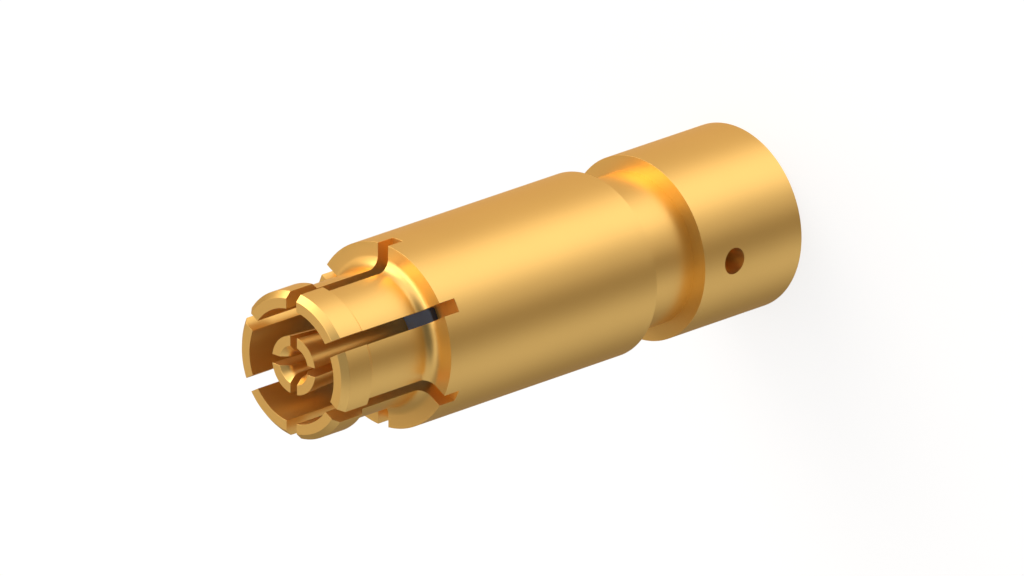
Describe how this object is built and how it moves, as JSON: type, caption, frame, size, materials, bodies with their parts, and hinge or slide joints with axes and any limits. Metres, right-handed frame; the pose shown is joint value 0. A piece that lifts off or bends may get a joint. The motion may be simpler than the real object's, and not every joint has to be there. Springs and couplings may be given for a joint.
{
  "type": "smpm connector",
  "caption": "Miniature push-on coaxial cable connector: slotted collet with a snap lip, plain barrel, grooved solder collar, and a slotted socket contact in a dark bead.",
  "frame": {"origin": "centre of the rear sleeve's flat rear face, on the connector's axis", "axes": "+Z along the axis from the rear face to the tip of the collet, +X out through the solder hole in the collar"},
  "size_m": [0.0032, 0.003, 0.0101],
  "materials": {
    "gold_shell": "satin gold plating on a turned copper alloy",
    "gold_contact": "satin gold plating on a heat-treated copper alloy",
    "bead_plastic": "matt moulded plastic, navy black"
  },
  "bodies": {
    "root": {"front_body": "gold_shell", "rear_sleeve": "gold_shell", "centre_contact": "gold_contact", "insulator_bead": "bead_plastic"}
  },
  "joints": []
}
